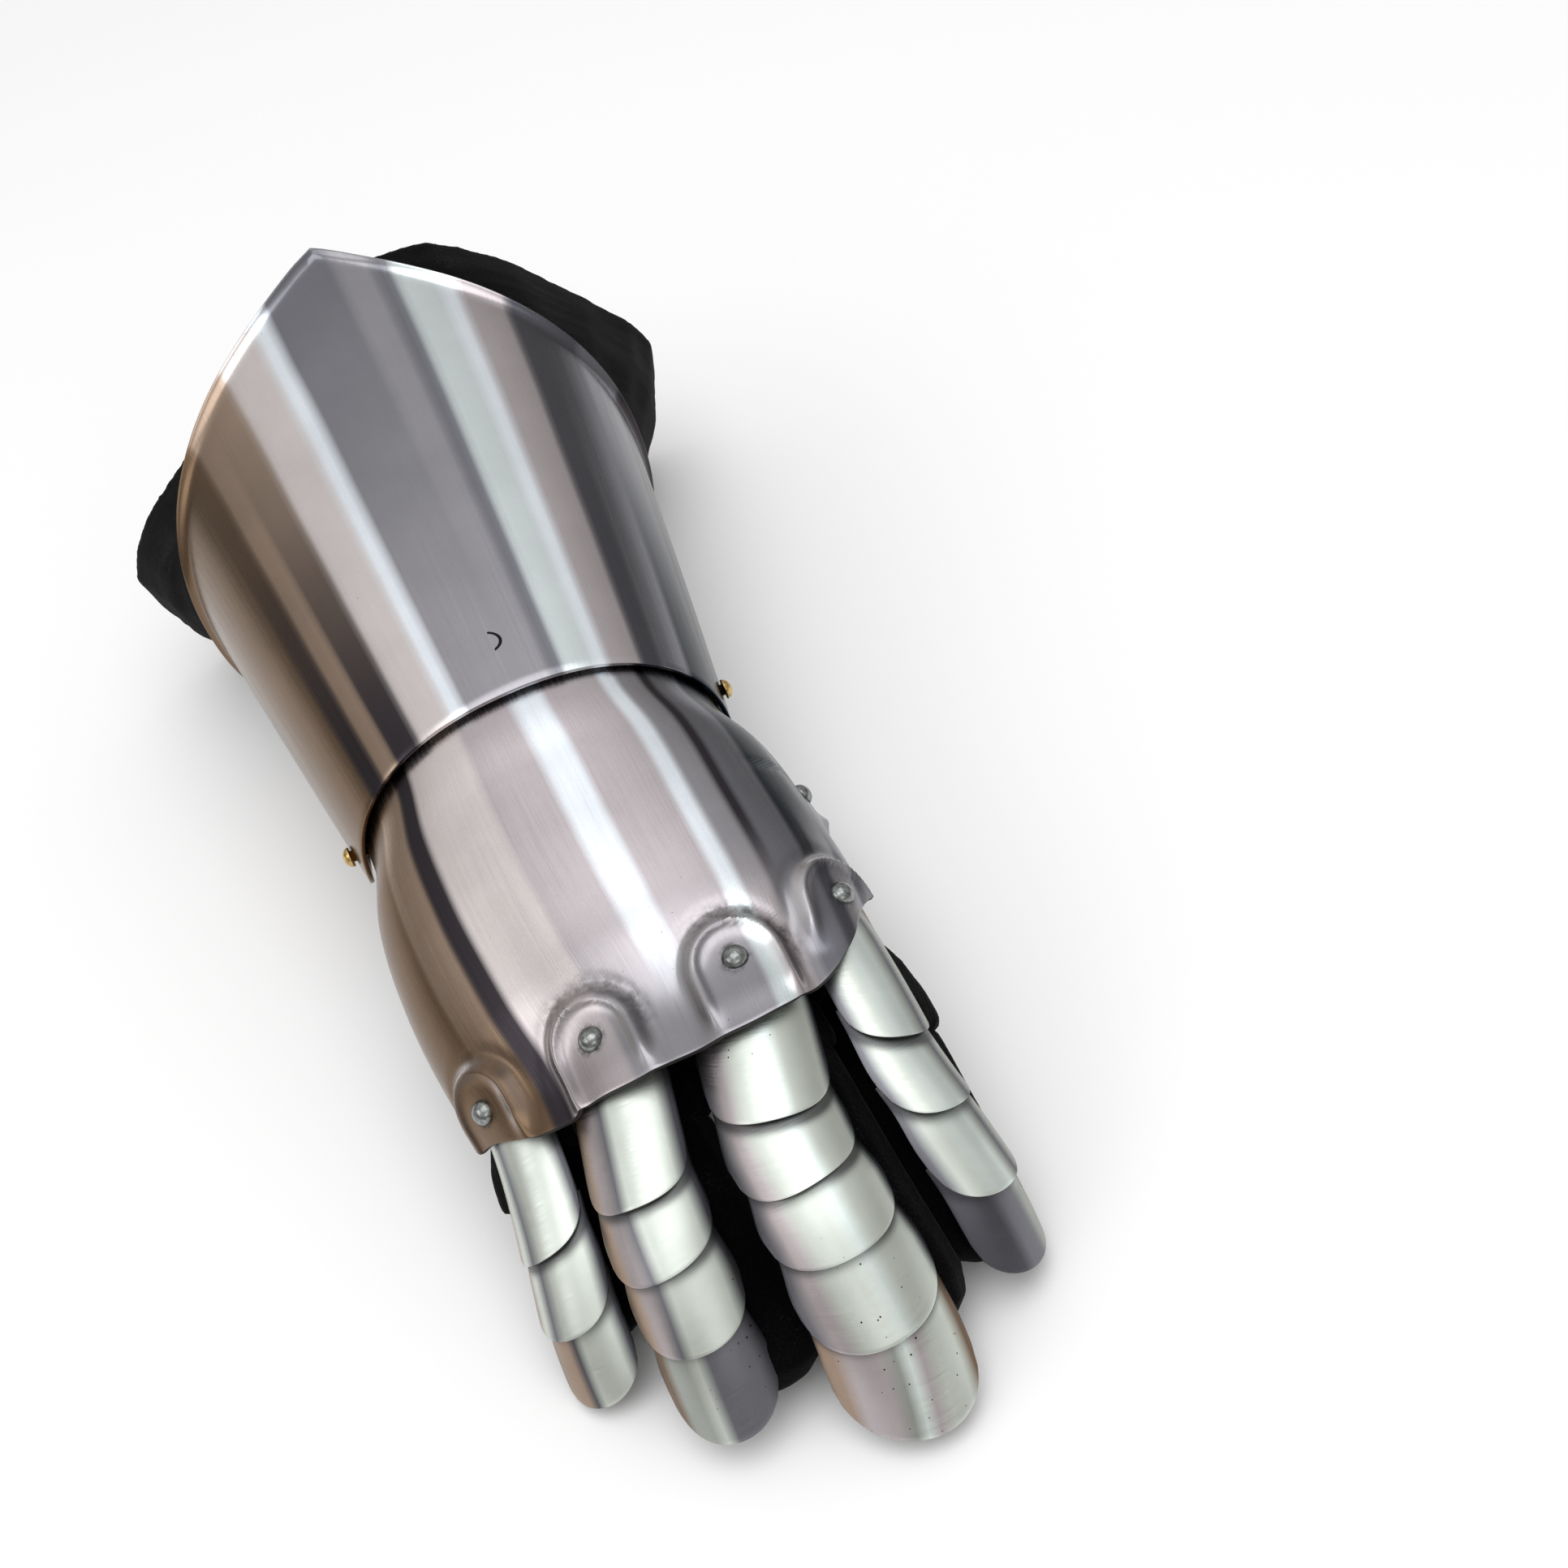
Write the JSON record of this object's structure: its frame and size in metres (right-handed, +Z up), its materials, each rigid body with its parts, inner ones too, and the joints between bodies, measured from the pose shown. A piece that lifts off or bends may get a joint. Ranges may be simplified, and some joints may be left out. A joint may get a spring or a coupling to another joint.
{
  "type": "armoured gauntlet",
  "caption": "Right-hand steel gauntlet: a flared cuff hinged to a knuckled hand plate, overlapping finger lames, and a black suede glove inside.",
  "frame": {"origin": "centre of the bounding box's base, on the surface it rests on", "axes": "+Y from the fingertips to the elbow, +X to the thumb side, +Z up from the palm to the back of the hand"},
  "size_m": [0.182, 0.3728, 0.1281],
  "materials": {
    "cuff_steel": "polished, reflective, lightly satin",
    "plate_steel": "polished, reflective, lightly satin",
    "lame_steel": "satin, brushed across",
    "rivet_steel": "polished domes",
    "rivet_brass": "polished domes",
    "suede": "black suede nap"
  },
  "bodies": {
    "hand": {"little_rivet": "rivet_steel", "little_lame_1": "lame_steel", "little_lame_2": "lame_steel", "little_lame_3": "lame_steel", "ring_rivet": "rivet_steel", "ring_lame_1": "lame_steel", "ring_lame_2": "lame_steel", "ring_lame_3": "lame_steel", "ring_lame_4": "lame_steel", "middle_rivet": "rivet_steel", "middle_lame_1": "lame_steel", "middle_lame_2": "lame_steel", "middle_lame_3": "lame_steel", "middle_lame_4": "lame_steel", "middle_lame_5": "lame_steel", "index_rivet": "rivet_steel", "index_lame_1": "lame_steel", "index_lame_2": "lame_steel", "index_lame_3": "lame_steel", "index_lame_4": "lame_steel", "thumb_rivet": "rivet_steel", "thumb_lame_1": "lame_steel", "thumb_lame_2": "lame_steel", "hand_plate": "plate_steel", "glove_cuff": "suede", "glove_hand": "suede", "glove_little": "suede", "glove_ring": "suede", "glove_middle": "suede", "glove_index": "suede", "glove_thumb": "suede"},
    "cuff": {"cuff_bell": "cuff_steel", "wrist_rivet_little_side": "rivet_brass", "wrist_rivet_thumb_side": "rivet_brass"}
  },
  "joints": [
    {"name": "wrist_pivot", "type": "hinge", "parent": "hand", "child": "cuff", "pos_m": [0, 0.00365, 0.051], "axis": [1, 0, 0], "range_deg": [-7, 1]}
  ]
}
